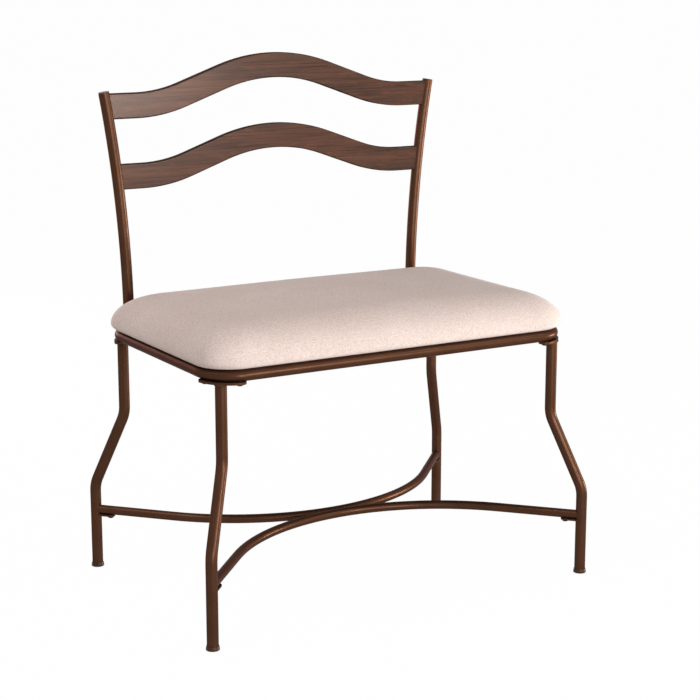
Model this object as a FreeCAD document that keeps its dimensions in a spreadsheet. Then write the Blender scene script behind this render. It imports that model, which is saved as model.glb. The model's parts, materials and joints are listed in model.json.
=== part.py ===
import FreeCAD, Part
import os
from math import atan2, degrees, pi, sin, tan

import Sketcher
from FreeCAD import Placement, Rotation, Vector

# Driving dimensions, in millimetres and degrees
SIZES = {
    "frame_tube": 19,
    "frame_wall": 1.2,
    "stretcher_tube": 15.5,
    "stretcher_wall": 1.2,
    "fit_gap": 0.1,
    "weld_gap": 0.2,
    "leg_top_x": 318.3,
    "leg_top_y": 190.2,
    "leg_splay": 59,
    "leg_knee_height": 284,
    "leg_ankle_height": 152.3,
    "leg_bend": 60,
    "foot_flare": 1.6,
    "foot_lip": 0.6,
    "foot_height": 7,
    "foot_sole": 3,
    "foot_plug": 14,
    "ring_height": 428.5,
    "ring_corner": 54,
    "plate_thickness": 4,
    "plate_width": 21,
    "plate_bolt_span": 57,
    "stretcher_height": 105.4,
    "stretcher_end_angle": 47.5,
    "stretcher_gap": 0.4,
    "tab_reach": 28,
    "tab_width": 15.5,
    "tab_thickness": 3,
    "post_base_x": 290.3,
    "post_straight": 4,
    "post_bend": 2400,
    "post_rise": 407.5,
    "cap_thickness": 2,
    "cap_plug": 6,
    "rail_width": 44,
    "rail_thickness": 12,
    "rail_edge": 2.5,
    "rail_crest_radius": 305,
    "rail_foot_radius": 257,
    "rail_slope": 19.65,
    "upper_rail_drop": 22.6,
    "upper_rail_rise": 60.8,
    "rail_spacing": 120.9,
    "lower_rail_rise": 57.3,
    "pin_diameter": 6,
    "pin_spacing": 24,
    "pin_depth": 25,
    "pin_grip": 4,
    "bolt_diameter": 6,
    "bolt_head": 10.5,
    "bolt_head_height": 3.3,
    "bolt_socket": 4,
    "bolt_socket_depth": 2,
    "nut_diameter": 9,
    "nut_length": 11,
    "leg_bolt_length": 14,
    "tab_bolt_length": 12,
    "seat_bolt_length": 24,
    "washer_diameter": 16,
    "washer_thickness": 1.2,
    "seat_tab_x": 200,
    "seat_tab_length": 32,
    "seat_tab_width": 24,
    "seat_tab_hole_inset": 12,
    "cushion_overhang": 2,
    "cushion_setback": 1.5,
    "cushion_corner": 66,
    "cushion_side": 5,
    "cushion_top_radius": 39,
    "cushion_bottom_radius": 10,
    "cover_thickness": 1.2,
    "hem_width": 26,
    "board_thickness": 12,
    "tee_nut_diameter": 8,
    "tee_nut_length": 9,
    "tee_nut_flange": 19,
    "tee_nut_flange_thickness": 1.5,
    "dust_cover_thickness": 0.8,
}

# The corners of the bench: side in X, side in Y
CORNERS = {
    "front_left": (-1, -1),
    "front_right": (1, -1),
    "rear_left": (-1, 1),
    "rear_right": (1, 1),
}
SIDES = {"left": -1, "right": 1}

doc = FreeCAD.newDocument("vanity_bench")
sheet = doc.addObject("Spreadsheet::Sheet", "Sizes")
for row, (alias, number) in enumerate(SIZES.items(), start=1):
    sheet.set(f"A{row}", alias)
    sheet.set(f"B{row}", str(number))
    sheet.setAlias(f"B{row}", alias)
doc.recompute()

# Sizes and places that follow from the driving dimensions, as sheet expressions
FRAME_BORE = "(Sizes.frame_tube - 2 * Sizes.frame_wall)"
FRAME_SOCKET = "(Sizes.frame_tube + 2 * Sizes.fit_gap)"
BOLT_HOLE = "(Sizes.bolt_diameter + 6 * Sizes.fit_gap)"
NUT_BORE = "(Sizes.bolt_diameter + 2 * Sizes.fit_gap)"
NUT_HOLE = "(Sizes.nut_diameter + 2 * Sizes.fit_gap)"
PIN_HOLE = "(Sizes.pin_diameter + 2 * Sizes.fit_gap)"
RING_BOTTOM = "(Sizes.ring_height - Sizes.frame_tube / 2)"
RING_TOP = "(Sizes.ring_height + Sizes.frame_tube / 2)"
RING_CENTRE_X = "(Sizes.leg_top_x - Sizes.ring_corner * sqrt(0.5))"
RING_CENTRE_Y = "(Sizes.leg_top_y - Sizes.ring_corner * sqrt(0.5))"
RING_X = f"({RING_CENTRE_X} + Sizes.ring_corner)"
RING_Y = f"({RING_CENTRE_Y} + Sizes.ring_corner)"
LEG_TOP = f"({RING_BOTTOM} - Sizes.plate_thickness)"
FOOT_X = "(Sizes.leg_top_x + Sizes.leg_splay * sqrt(0.5))"
FOOT_Y = "(Sizes.leg_top_y + Sizes.leg_splay * sqrt(0.5))"
PLATE_BOLT_ANGLE = "asin(Sizes.plate_bolt_span / 2 / Sizes.ring_corner)"
STRETCHER_Y = "((Sizes.stretcher_tube + Sizes.stretcher_gap) / 2)"
STRETCHER_BOTTOM = "(Sizes.stretcher_height - Sizes.stretcher_tube / 2)"
STRETCHER_COS = "cos(Sizes.stretcher_end_angle)"
STRETCHER_SIN = "sin(Sizes.stretcher_end_angle)"
STRETCHER_RISE = f"({FOOT_X} * {STRETCHER_SIN} - ({FOOT_Y} - {STRETCHER_Y}) * {STRETCHER_COS})"
STRETCHER_BEND = f"({STRETCHER_RISE} / (1 - {STRETCHER_COS}))"
TAB_BOLT_X = f"({FOOT_X} - Sizes.tab_reach * {STRETCHER_COS})"
TAB_BOLT_Y = f"({FOOT_Y} - Sizes.tab_reach * {STRETCHER_SIN})"
TAB_BOTTOM = f"({STRETCHER_BOTTOM} - Sizes.tab_thickness)"
POST_REACH = "(Sizes.ring_corner + Sizes.frame_tube + Sizes.weld_gap)"
POST_Y = f"({RING_CENTRE_Y} + sqrt({POST_REACH}^2 - max(Sizes.post_base_x - {RING_CENTRE_X}; 0)^2))"
POST_BOTTOM = f"({RING_BOTTOM} + Sizes.cap_thickness)"
POST_BEND_START = f"({POST_BOTTOM} + Sizes.post_straight)"
POST_TOP = "(Sizes.ring_height + Sizes.post_rise)"
UPPER_RAIL = f"({POST_TOP} - Sizes.upper_rail_drop)"
RAIL_HEIGHTS = {"upper": UPPER_RAIL, "lower": f"({UPPER_RAIL} - Sizes.rail_spacing)"}
SEAT_TAB_BOTTOM = "(Sizes.ring_height - Sizes.tab_thickness / 2)"
SEAT_BOLT_Y = f"({RING_Y} - Sizes.frame_tube / 2 - Sizes.seat_tab_length + Sizes.seat_tab_hole_inset)"
CUSHION_X = f"({RING_X} + Sizes.frame_tube / 2 + Sizes.cushion_overhang)"
CUSHION_Y = f"({RING_Y} + Sizes.frame_tube / 2 - Sizes.cushion_setback)"
BOARD_BOTTOM = f"({RING_TOP} + Sizes.cover_thickness)"
BOARD_TOP = f"({BOARD_BOTTOM} + Sizes.board_thickness)"


def value(expression):
    """The number that an expression of sheet cells has now."""
    return float(sheet.evalExpression(str(expression)))


def post_lean(height):
    """The angle of a post's axis from upright, at a height on its bend."""
    return f"asin(({height} - {POST_BEND_START}) / Sizes.post_bend)"


def post_x(height):
    """How far a post's axis stands from the middle of the bench, at a height."""
    return f"(Sizes.post_base_x + Sizes.post_bend * (1 - cos({post_lean(height)})))"


def new_body(label, x="0", y="0", z="0", turn=0):
    """A PartDesign body with a sheet-driven place and a turn about Z."""
    body = doc.addObject("PartDesign::Body", label)
    body.Label = label
    body.Placement = Placement(Vector(0, 0, 0), Rotation(Vector(0, 0, 1), turn))
    for axis, expression in zip("xyz", (x, y, z)):
        body.setExpression(f"Placement.Base.{axis}", expression)
    return body


def origin_plane(body, role):
    """One of the body's own origin planes."""
    return next(feature for feature in body.Origin.OriginFeatures if feature.Role == role)


def new_sketch(body, name, role, offset="0"):
    """A sketch on an origin plane of its body, moved along that plane's normal."""
    sketch = body.newObject("Sketcher::SketchObject", name)
    sketch.AttachmentSupport = [(origin_plane(body, role), "")]
    sketch.MapMode = "FlatFace"
    sketch.setExpression("AttachmentOffset.Base.z", offset)
    return sketch


def locate(sketch, geometry, point, x=None, y=None):
    """Pin a point of the sketch's geometry to sheet-driven coordinates."""
    for kind, expression in (("DistanceX", x), ("DistanceY", y)):
        if expression is not None:
            index = sketch.addConstraint(
                Sketcher.Constraint(kind, -1, 1, geometry, point, value(expression))
            )
            sketch.setExpression(f"Constraints[{index}]", expression)


def set_radius(sketch, geometry, expression):
    """Bind an arc's or circle's radius to the sheet."""
    index = sketch.addConstraint(Sketcher.Constraint("Radius", geometry, value(expression)))
    sketch.setExpression(f"Constraints[{index}]", expression)


def join(sketch, kind, first, first_point, second, second_point):
    """Make two ends meet: Coincident or Tangent."""
    sketch.addConstraint(Sketcher.Constraint(kind, first, first_point, second, second_point))


def add_line(sketch, start, end):
    """A line between two vectors."""
    return sketch.addGeometry(Part.LineSegment(start, end))


def add_arc(sketch, centre, radius, start, end):
    """An arc that runs anticlockwise between two angles in radians."""
    circle = Part.Circle(centre, Vector(0, 0, 1), radius)
    return sketch.addGeometry(Part.ArcOfCircle(circle, start, end))


def add_circle(sketch, x, y, diameter):
    """A circle with a sheet-driven centre and diameter."""
    circle = Part.Circle(Vector(value(x), value(y), 0), Vector(0, 0, 1), value(diameter) / 2)
    index = sketch.addGeometry(circle)
    locate(sketch, index, 3, x, y)
    set_radius(sketch, index, f"({diameter}) / 2")


def add_outline(sketch, points):
    """A closed outline of straight lines through sheet-driven points."""
    vectors = [Vector(value(x), value(y), 0) for x, y in points]
    lines = [add_line(sketch, *pair) for pair in zip(vectors, vectors[1:] + vectors[:1])]
    for index, line in enumerate(lines):
        join(sketch, "Coincident", lines[index - 1], 2, line, 1)
        locate(sketch, line, 1, *points[index])


def add_hexagon(sketch, x, y, across):
    """A regular hexagon with a sheet-driven centre and width across flats."""
    tall = f"({across}) / 2"
    wide = f"({across}) / sqrt(3)"
    half = f"({across}) / sqrt(12)"
    steps = [
        (f"{x} + {wide}", f"{y}"),
        (f"{x} + {half}", f"{y} + {tall}"),
        (f"{x} - {half}", f"{y} + {tall}"),
        (f"{x} - {wide}", f"{y}"),
        (f"{x} - {half}", f"{y} - {tall}"),
        (f"{x} + {half}", f"{y} - {tall}"),
    ]
    add_outline(sketch, steps)


def add_rounded_path(sketch, corners, radius):
    """Straight runs through the corners, with a tangent arc at each inner corner."""
    points = [Vector(value(x), value(y), 0) for x, y in corners]
    bend = value(radius)
    starts = points[:-1]
    ends = points[1:]
    arcs = []
    for index in range(1, len(points) - 1):
        back = (points[index - 1] - points[index]).normalize()
        ahead = (points[index + 1] - points[index]).normalize()
        half = back.getAngle(ahead) / 2
        reach = bend / tan(half)
        centre = points[index] + (back + ahead).normalize() * (bend / sin(half))
        first = points[index] + back * reach
        last = points[index] + ahead * reach
        anticlockwise = (first - centre).cross(last - centre).z > 0
        turn_from, turn_to = (first, last) if anticlockwise else (last, first)
        angles = [atan2(point.y - centre.y, point.x - centre.x) for point in (turn_from, turn_to)]
        arcs.append((add_arc(sketch, centre, bend, *angles), 1 if anticlockwise else 2))
        ends[index - 1] = first
        starts[index] = last
    lines = [add_line(sketch, *pair) for pair in zip(starts, ends)]
    locate(sketch, lines[0], 1, *corners[0])
    locate(sketch, lines[-1], 2, *corners[-1])
    for index, (arc, first_point) in enumerate(arcs):
        corner = sketch.addGeometry(Part.Point(points[index + 1]), True)
        locate(sketch, corner, 1, *corners[index + 1])
        for line in lines[index:index + 2]:
            sketch.addConstraint(Sketcher.Constraint("PointOnObject", corner, 1, line))
        join(sketch, "Tangent", lines[index], 2, arc, first_point)
        join(sketch, "Tangent", lines[index + 1], 1, arc, 3 - first_point)
        set_radius(sketch, arc, radius)


def add_rounded_rectangle(sketch, half_x, half_y, corner):
    """A rectangle about the sketch's origin with equal round corners."""
    radius = value(corner)
    centre_x = value(half_x) - radius
    centre_y = value(half_y) - radius
    signs = [(1, 1), (-1, 1), (-1, -1), (1, -1)]
    arcs = []
    for index, (sign_x, sign_y) in enumerate(signs):
        centre = Vector(sign_x * centre_x, sign_y * centre_y, 0)
        arc = add_arc(sketch, centre, radius, index * pi / 2, (index + 1) * pi / 2)
        locate(sketch, arc, 3, f"{sign_x} * ({half_x} - {corner})", f"{sign_y} * ({half_y} - {corner})")
        set_radius(sketch, arc, corner)
        arcs.append(arc)
    for arc, following in zip(arcs, arcs[1:] + arcs[:1]):
        line = add_line(
            sketch,
            sketch.Geometry[arc].EndPoint,
            sketch.Geometry[following].StartPoint,
        )
        join(sketch, "Tangent", arc, 2, line, 1)
        join(sketch, "Tangent", line, 2, following, 1)


def pad(body, sketch, length, reverse=False, both_ways=False):
    """A pad of sheet-driven length."""
    feature = body.newObject("PartDesign::Pad", "Pad")
    feature.Profile = sketch
    feature.setExpression("Length", length)
    feature.Reversed = reverse
    if both_ways:
        feature.SideType = "Symmetric"
    body.Tip = feature
    return feature


def pocket(body, sketch, depth, reverse=False, both_ways=False):
    """A pocket of sheet-driven depth, which cuts against the sketch's normal."""
    feature = body.newObject("PartDesign::Pocket", "Pocket")
    feature.Profile = sketch
    feature.setExpression("Length", depth)
    feature.Reversed = reverse
    if both_ways:
        feature.SideType = "Symmetric"
    body.Tip = feature
    return feature


def pipe(body, profile, path):
    """A sweep of the profile along the path."""
    feature = body.newObject("PartDesign::AdditivePipe", "Pipe")
    feature.Profile = profile
    feature.Spine = path
    body.Tip = feature
    return feature


def revolve(body, sketch):
    """A full turn of the sketch about its own upright axis."""
    feature = body.newObject("PartDesign::Revolution", "Revolution")
    feature.Profile = sketch
    feature.ReferenceAxis = (sketch, ["V_Axis"])
    feature.Angle = 360
    body.Tip = feature


def groove(body, sketch, axis_x, angle):
    """A cut that turns the sketch about a line at axis_x, upright in the sketch."""
    ends = [Vector(value(axis_x), y, 0) for y in (0, 1)]
    axis = sketch.addGeometry(Part.LineSegment(*ends), True)
    for point in (1, 2):
        locate(sketch, axis, point, axis_x, str(point - 1))
    feature = body.newObject("PartDesign::Groove", "Groove")
    feature.Profile = sketch
    feature.ReferenceAxis = (sketch, ["Axis0"])
    feature.setExpression("Angle", angle)
    body.Tip = feature
    return feature


def mirror(body, features):
    """Copies of the features on the other side of the body's YZ plane."""
    feature = body.newObject("PartDesign::Mirrored", "Mirrored")
    feature.Originals = features
    feature.MirrorPlane = (origin_plane(body, "YZ_Plane"), [""])
    body.Tip = feature


def fillet(body, radius, wanted):
    """Round the edges of the body's last feature that the test picks."""
    doc.recompute()
    base = body.Tip
    names = [f"Edge{index}" for index, edge in enumerate(base.Shape.Edges, start=1) if wanted(edge)]
    feature = body.newObject("PartDesign::Fillet", "Fillet")
    feature.Base = (base, names)
    feature.setExpression("Radius", radius)
    body.Tip = feature


def lies_at(height):
    """A test for the edges that lie flat at a height of their body."""
    level = value(height)
    return lambda edge: abs(edge.BoundBox.ZMin - level) + abs(edge.BoundBox.ZMax - level) < 0.01


def corner_seats(*seats):
    """Each seat's place, in all four corners of the bench."""
    return [
        (f"{sign_x} * {x}", f"{sign_y} * {y}")
        for sign_x, sign_y in CORNERS.values()
        for x, y in seats
    ]


def plate_seats():
    """Where the two bolts of a leg plate stand in the rear right corner."""
    return [
        (
            f"({RING_CENTRE_X} + Sizes.ring_corner * cos(45 deg {sign} {PLATE_BOLT_ANGLE}))",
            f"({RING_CENTRE_Y} + Sizes.ring_corner * sin(45 deg {sign} {PLATE_BOLT_ANGLE}))",
        )
        for sign in "+-"
    ]


PLATE_SEATS = corner_seats(*plate_seats())
TAB_SEATS = corner_seats((TAB_BOLT_X, TAB_BOLT_Y))
BOARD_SEATS = corner_seats(("Sizes.seat_tab_x", SEAT_BOLT_Y))


def make_seat_ring():
    """The bent tube under the cushion, drilled below for the leg plates' insert nuts."""
    body = new_body("seat_ring", z="Sizes.ring_height")
    path = new_sketch(body, "ring_path", "XY_Plane")
    half = [("0", f"-{RING_Y}"), (RING_X, f"-{RING_Y}"), (RING_X, RING_Y), ("0", RING_Y)]
    add_rounded_path(path, half, "Sizes.ring_corner")
    section = new_sketch(body, "ring_section", "YZ_Plane")
    for diameter in ("Sizes.frame_tube", FRAME_BORE):
        add_circle(section, f"-{RING_Y}", "0", diameter)
    mirror(body, [pipe(body, section, path)])
    holes = new_sketch(body, "nut_holes", "XY_Plane")
    for x, y in PLATE_SEATS:
        add_circle(holes, x, y, NUT_HOLE)
    pocket(body, holes, "Sizes.frame_tube")


def make_leg(corner, sign_x, sign_y):
    """One leg tube: upright, splayed along the diagonal, then upright again."""
    turn = degrees(atan2(sign_y, sign_x))
    body = new_body(f"leg_{corner}", f"{sign_x} * Sizes.leg_top_x", f"{sign_y} * Sizes.leg_top_y", turn=turn)
    path = new_sketch(body, "leg_path", "XZ_Plane")
    corners = [
        ("0", LEG_TOP),
        ("0", "Sizes.leg_knee_height"),
        ("Sizes.leg_splay", "Sizes.leg_ankle_height"),
        ("Sizes.leg_splay", "Sizes.foot_sole"),
    ]
    add_rounded_path(path, corners, "Sizes.leg_bend")
    section = new_sketch(body, "leg_section", "XY_Plane", LEG_TOP)
    for diameter in ("Sizes.frame_tube", FRAME_BORE):
        add_circle(section, "0", "0", diameter)
    pipe(body, section, path)


def make_leg_plate(corner, sign_x, sign_y):
    """The curved plate on a leg's top, which follows the ring's corner."""
    turn = degrees(atan2(sign_y, sign_x))
    body = new_body(
        f"leg_plate_{corner}", f"{sign_x} * {RING_CENTRE_X}", f"{sign_y} * {RING_CENTRE_Y}", LEG_TOP, turn
    )
    sketch = new_sketch(body, "plate_outline", "XY_Plane")
    radius = value("Sizes.ring_corner")
    half_width = value("Sizes.plate_width / 2")
    swing = value(PLATE_BOLT_ANGLE) * pi / 180
    middle = Vector(0, 0, 0)
    outer = add_arc(sketch, middle, radius + half_width, -swing, swing)
    inner = add_arc(sketch, middle, radius - half_width, -swing, swing)
    for arc, sign in ((outer, "+"), (inner, "-")):
        sketch.addConstraint(Sketcher.Constraint("Coincident", arc, 3, -1, 1))
        set_radius(sketch, arc, f"Sizes.ring_corner {sign} Sizes.plate_width / 2")
    for side in (1, -1):
        seat = Rotation(Vector(0, 0, 1), side * swing * 180 / pi).multVec(Vector(radius, 0, 0))
        first = side * swing if side > 0 else side * swing - pi
        end = add_arc(sketch, seat, half_width, first, first + pi)
        join(sketch, "Tangent", outer, 2 if side > 0 else 1, end, 1 if side > 0 else 2)
        join(sketch, "Tangent", inner, 2 if side > 0 else 1, end, 2 if side > 0 else 1)
        locate(sketch, end, 3, y=f"{side} * Sizes.plate_bolt_span / 2")
        add_circle(
            sketch,
            f"Sizes.ring_corner * cos({PLATE_BOLT_ANGLE})",
            f"{side} * Sizes.plate_bolt_span / 2",
            BOLT_HOLE,
        )
    pad(body, sketch, "Sizes.plate_thickness")


def make_foot(corner, sign_x, sign_y):
    """The flared cap on a leg's lower end, with a plug inside the tube."""
    body = new_body(f"foot_{corner}", f"{sign_x} * {FOOT_X}", f"{sign_y} * {FOOT_Y}")
    sketch = new_sketch(body, "foot_profile", "XZ_Plane")
    socket = f"{FRAME_SOCKET} / 2"
    plug = f"{FRAME_BORE} / 2 - Sizes.fit_gap"
    rim = f"{socket} + Sizes.foot_flare"
    points = [
        ("0", "0"),
        (f"{rim} - Sizes.foot_sole / 6", "0"),
        (rim, "Sizes.foot_sole / 6"),
        (rim, "Sizes.foot_sole"),
        (f"{socket} + Sizes.foot_lip", "Sizes.foot_height"),
        (socket, "Sizes.foot_height"),
        (socket, "Sizes.foot_sole"),
        (plug, "Sizes.foot_sole"),
        (plug, "Sizes.foot_sole + Sizes.foot_plug"),
        ("0", "Sizes.foot_sole + Sizes.foot_plug"),
    ]
    add_outline(sketch, points)
    revolve(body, sketch)


def make_stretcher(label, turn):
    """A bowed tube between two legs, with ends coped to them and drilled below for insert nuts."""
    body = new_body(label, z="Sizes.stretcher_height", turn=turn)
    path = new_sketch(body, "bow_path", "XY_Plane")
    bend = value(STRETCHER_BEND)
    end_angle = value("Sizes.stretcher_end_angle") * pi / 180
    centre = Vector(0, -value(STRETCHER_Y) - bend, 0)
    bow = add_arc(path, centre, bend, pi / 2 - end_angle, pi / 2)
    run = add_line(path, path.Geometry[bow].StartPoint, Vector(value(FOOT_X), -value(FOOT_Y), 0))
    locate(path, bow, 2, "0", f"-{STRETCHER_Y}")
    path.addConstraint(Sketcher.Constraint("PointOnObject", bow, 3, -2))
    set_radius(path, bow, STRETCHER_BEND)
    join(path, "Tangent", bow, 1, run, 1)
    locate(path, run, 2, FOOT_X, f"-{FOOT_Y}")
    section = new_sketch(body, "bow_section", "YZ_Plane")
    for diameter in ("Sizes.stretcher_tube", "Sizes.stretcher_tube - 2 * Sizes.stretcher_wall"):
        add_circle(section, f"-{STRETCHER_Y}", "0", diameter)
    half = pipe(body, section, path)
    cope = new_sketch(body, "leg_cope", "XY_Plane")
    add_circle(cope, FOOT_X, f"-{FOOT_Y}", FRAME_SOCKET)
    coped = pocket(body, cope, "2 * Sizes.stretcher_tube", both_ways=True)
    hole = new_sketch(body, "nut_hole", "XY_Plane")
    add_circle(hole, TAB_BOLT_X, f"-{TAB_BOLT_Y}", NUT_HOLE)
    drilled = pocket(body, hole, "Sizes.stretcher_tube")
    mirror(body, [half, coped, drilled])


def make_stretcher_tab(corner, sign_x, sign_y):
    """The flat tab on a leg, under a stretcher's end."""
    body = new_body(f"stretcher_tab_{corner}", f"{sign_x} * {FOOT_X}", f"{sign_y} * {FOOT_Y}", TAB_BOTTOM)
    # Local X runs from the leg along the stretcher
    turn = f"({90 + 90 * sign_x} + {sign_x * sign_y} * Sizes.stretcher_end_angle) * 1 deg"
    body.setExpression("Placement.Rotation.Angle", turn)
    sketch = new_sketch(body, "tab_outline", "XY_Plane")
    reach = value("Sizes.tab_reach")
    half_width = value("Sizes.tab_width / 2")
    tip = add_arc(sketch, Vector(reach, 0, 0), half_width, -pi / 2, pi / 2)
    far = add_line(sketch, Vector(reach, half_width, 0), Vector(0, half_width, 0))
    back = add_line(sketch, Vector(0, half_width, 0), Vector(0, -half_width, 0))
    near = add_line(sketch, Vector(0, -half_width, 0), Vector(reach, -half_width, 0))
    join(sketch, "Tangent", tip, 2, far, 1)
    join(sketch, "Coincident", far, 2, back, 1)
    join(sketch, "Coincident", back, 2, near, 1)
    join(sketch, "Tangent", near, 2, tip, 1)
    locate(sketch, tip, 3, "Sizes.tab_reach", "0")
    set_radius(sketch, tip, "Sizes.tab_width / 2")
    locate(sketch, back, 1, x="0")
    sketch.addConstraint(Sketcher.Constraint("Vertical", back))
    sketch.addConstraint(Sketcher.Constraint("Horizontal", far))
    sketch.addConstraint(Sketcher.Constraint("Horizontal", near))
    add_circle(sketch, "Sizes.tab_reach", "0", BOLT_HOLE)
    pad(body, sketch, "Sizes.tab_thickness")
    cope = new_sketch(body, "leg_cope", "XY_Plane")
    add_circle(cope, "0", "0", FRAME_SOCKET)
    pocket(body, cope, "4 * Sizes.tab_thickness", both_ways=True)


def make_post(side, sign):
    """A back post, drilled on its inner side for the rails' pins."""
    body = new_body(f"back_post_{side}", f"{sign} * Sizes.post_base_x", POST_Y, turn=90 - 90 * sign)
    path = new_sketch(body, "post_path", "XZ_Plane")
    bend = value("Sizes.post_bend")
    bend_start = Vector(0, value(POST_BEND_START), 0)
    lean = value(post_lean(POST_TOP)) * pi / 180
    arc = add_arc(path, bend_start + Vector(bend, 0, 0), bend, pi - lean, pi)
    foot = add_line(path, Vector(0, value(POST_BOTTOM), 0), bend_start)
    locate(path, foot, 1, "0", POST_BOTTOM)
    locate(path, foot, 2, "0", POST_BEND_START)
    join(path, "Tangent", foot, 2, arc, 2)
    set_radius(path, arc, "Sizes.post_bend")
    locate(path, arc, 1, y=POST_TOP)
    section = new_sketch(body, "post_section", "XY_Plane", POST_BOTTOM)
    for diameter in ("Sizes.frame_tube", FRAME_BORE):
        add_circle(section, "0", "0", diameter)
    pipe(body, section, path)
    for rail, height in RAIL_HEIGHTS.items():
        holes = new_sketch(body, f"{rail}_pin_holes", "YZ_Plane", f"{post_x(height)} - Sizes.post_base_x")
        for end in "+-":
            add_circle(holes, "0", f"{height} {end} Sizes.pin_spacing / 2", PIN_HOLE)
        pocket(body, holes, "Sizes.frame_tube")


def make_post_end(label, x, z, lean):
    """A flat cap on a post's end, leaned over to the left or right, with a plug inside the tube."""
    body = new_body(label, x, POST_Y, z)
    body.Placement.Rotation = Rotation(Vector(0, 1, 0), value(lean))
    body.setExpression("Placement.Rotation.Angle", lean)
    sketch = new_sketch(body, "cap_profile", "XZ_Plane")
    plug = f"{FRAME_BORE} / 2 - Sizes.fit_gap"
    points = [
        ("0", "-Sizes.cap_plug"),
        (plug, "-Sizes.cap_plug"),
        (plug, "0"),
        ("Sizes.frame_tube / 2", "0"),
        ("Sizes.frame_tube / 2", "Sizes.cap_thickness * 3 / 4"),
        ("Sizes.frame_tube / 2 - Sizes.cap_thickness / 4", "Sizes.cap_thickness"),
        ("0", "Sizes.cap_thickness"),
    ]
    add_outline(sketch, points)
    revolve(body, sketch)


def add_wave_half(sketch, rise, end_x):
    """Half of a rail's outline: crest, slope, foot and flat end, at an even width."""
    crest = "Sizes.rail_crest_radius"
    foot = "Sizes.rail_foot_radius"
    slope_angle = "Sizes.rail_slope"
    bends = f"({crest} + {foot})"
    slope_run = f"(({rise} - {bends} * (1 - cos({slope_angle}))) / tan({slope_angle}))"
    foot_x = f"({bends} * sin({slope_angle}) + {slope_run})"
    tilt = value(slope_angle) * pi / 180
    edges = {}
    for name, sign in (("top", 1), ("bottom", -1)):
        half_width = f"{sign} * Sizes.rail_width / 2"
        crest_radius = f"{crest} + {half_width}"
        foot_radius = f"{foot} - {half_width}"
        crest_centre = Vector(0, value(f"{rise} - {crest}"), 0)
        foot_centre = Vector(value(foot_x), value(foot), 0)
        high = add_arc(sketch, crest_centre, value(crest_radius), pi / 2 - tilt, pi / 2)
        low = add_arc(sketch, foot_centre, value(foot_radius), 3 * pi / 2 - tilt, 3 * pi / 2)
        slope = add_line(sketch, sketch.Geometry[high].StartPoint, sketch.Geometry[low].StartPoint)
        level = sketch.Geometry[low].EndPoint
        flat = add_line(sketch, level, Vector(value(end_x), level.y, 0))
        locate(sketch, high, 3, "0", f"{rise} - {crest}")
        locate(sketch, low, 3, foot_x, foot)
        set_radius(sketch, high, crest_radius)
        set_radius(sketch, low, foot_radius)
        sketch.addConstraint(Sketcher.Constraint("PointOnObject", high, 2, -2))
        join(sketch, "Tangent", high, 1, slope, 1)
        join(sketch, "Tangent", slope, 2, low, 1)
        join(sketch, "Tangent", low, 2, flat, 1)
        sketch.addConstraint(Sketcher.Constraint("Horizontal", flat))
        locate(sketch, flat, 2, x=end_x)
        edges[name] = (high, flat)
    for top, bottom in zip(edges["top"], edges["bottom"]):
        closing = add_line(sketch, sketch.Geometry[top].EndPoint, sketch.Geometry[bottom].EndPoint)
        join(sketch, "Coincident", top, 2, closing, 1)
        join(sketch, "Coincident", bottom, 2, closing, 2)


def make_rail(name):
    """A wave-shaped wooden rail, coped to the posts and bored in its ends for pins."""
    height = RAIL_HEIGHTS[name]
    end_x = post_x(height)
    body = new_body(f"{name}_rail", y=POST_Y, z=height)
    outline = new_sketch(body, "wave_outline", "XZ_Plane")
    add_wave_half(outline, f"Sizes.{name}_rail_rise", end_x)
    mirror(body, [pad(body, outline, "Sizes.rail_thickness", both_ways=True)])
    face_y = value("Sizes.rail_thickness / 2")

    def runs_along(edge):
        box = edge.BoundBox
        on_a_face = abs(abs(box.YMin) - face_y) < 0.01 and box.YLength < 0.01
        return on_a_face and box.XLength > box.ZLength

    fillet(body, "Sizes.rail_edge", runs_along)
    bores = new_sketch(body, "pin_bores", "YZ_Plane", end_x)
    for end in "+-":
        add_circle(bores, "0", f"0 {end} Sizes.pin_spacing / 2", PIN_HOLE)
    bored = pocket(body, bores, "Sizes.frame_tube / 2 + Sizes.pin_depth")
    section = new_sketch(body, "cope_section", "XY_Plane", f"{POST_BEND_START} - {height}")
    add_circle(section, "Sizes.post_base_x", "0", FRAME_SOCKET)
    coped = groove(body, section, "Sizes.post_base_x + Sizes.post_bend", f"2 * {post_lean(POST_TOP)}")
    mirror(body, [bored, coped])


def make_rail_pins(name):
    """The steel pins that join a rail's ends to the posts."""
    height = RAIL_HEIGHTS[name]
    body = new_body(f"{name}_rail_pins", y=POST_Y, z=height)
    start = f"{post_x(height)} - Sizes.frame_tube / 2 - Sizes.pin_depth + Sizes.fit_gap"
    sketch = new_sketch(body, "pin_section", "YZ_Plane", start)
    for end in "+-":
        add_circle(sketch, "0", f"0 {end} Sizes.pin_spacing / 2", "Sizes.pin_diameter")
    mirror(body, [pad(body, sketch, "Sizes.pin_depth + Sizes.frame_wall + Sizes.pin_grip")])


def make_seat_tab(corner, sign_x, sign_y):
    """A drilled tab on the inside of the ring, which a seat bolt goes up through."""
    body = new_body(f"seat_tab_{corner}", f"{sign_x} * Sizes.seat_tab_x", z=SEAT_TAB_BOTTOM)
    outer = f"({RING_Y} - Sizes.frame_tube / 2 - Sizes.fit_gap)"
    inner = f"({RING_Y} - Sizes.frame_tube / 2 - Sizes.seat_tab_length)"
    half = "Sizes.seat_tab_width / 2"
    sketch = new_sketch(body, "tab_outline", "XY_Plane")
    ends = [(f"-{half}", outer), (half, outer), (half, inner), (f"-{half}", inner)]
    add_outline(sketch, [(x, f"{sign_y} * {y}") for x, y in ends])
    add_circle(sketch, "0", f"{sign_y} * {SEAT_BOLT_Y}", BOLT_HOLE)
    pad(body, sketch, "Sizes.tab_thickness")


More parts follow.
